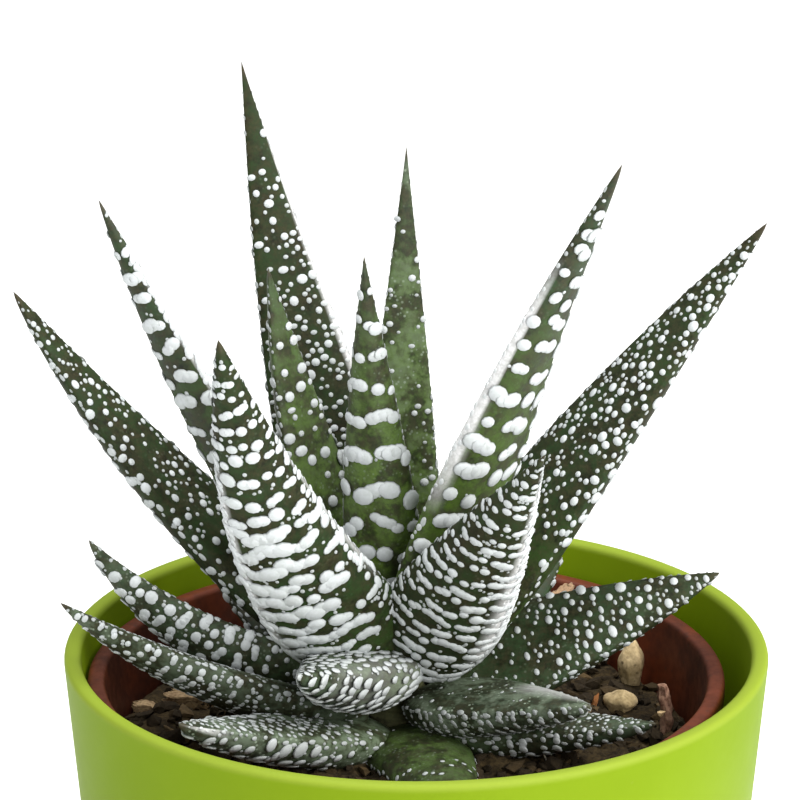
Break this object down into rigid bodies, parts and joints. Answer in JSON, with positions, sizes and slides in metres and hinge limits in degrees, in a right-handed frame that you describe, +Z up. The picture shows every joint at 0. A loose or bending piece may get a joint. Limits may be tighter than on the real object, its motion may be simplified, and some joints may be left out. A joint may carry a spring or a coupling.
{
  "type": "potted haworthia",
  "caption": "Zebra haworthia: a rosette of pointed succulent leaves with white tubercle bars, in a soil-filled grow pot inside a plain lime-green cachepot",
  "frame": {"origin": "middle of the cachepot's flat base, on the surface that it stands on", "axes": "+Z up; the pictured side faces -Y, with +X to its right"},
  "size_m": [0.0748, 0.07, 0.1165],
  "materials": {
    "pot_green": "satin",
    "pot_brown": "satin",
    "soil": "matte",
    "leaf": "satin",
    "stem": "matte",
    "pebble": "matte",
    "bark": "matte"
  },
  "bodies": {
    "root": {"outer_pot": "pot_green", "nursery_pot": "pot_brown", "soil": "soil", "stem": "stem", "leaf_01": "leaf", "leaf_02": "leaf", "leaf_03": "leaf", "leaf_04": "leaf", "leaf_05": "leaf", "leaf_06": "leaf", "leaf_07": "leaf", "leaf_08": "leaf", "leaf_09": "leaf", "leaf_10": "leaf", "leaf_11": "leaf", "leaf_12": "leaf", "leaf_13": "leaf", "leaf_14": "leaf", "leaf_15": "leaf", "leaf_16": "leaf", "leaf_17": "leaf", "leaf_18": "leaf", "leaf_19": "leaf", "leaf_20": "leaf", "leaf_21": "leaf", "leaf_22": "leaf", "leaf_23": "leaf", "leaf_24": "leaf", "leaf_25": "leaf", "leaf_26": "leaf", "husk": "bark", "pebble_1": "pebble", "pebble_2": "pebble", "bark_1": "bark", "bark_2": "bark", "root_bit": "bark"}
  },
  "joints": []
}
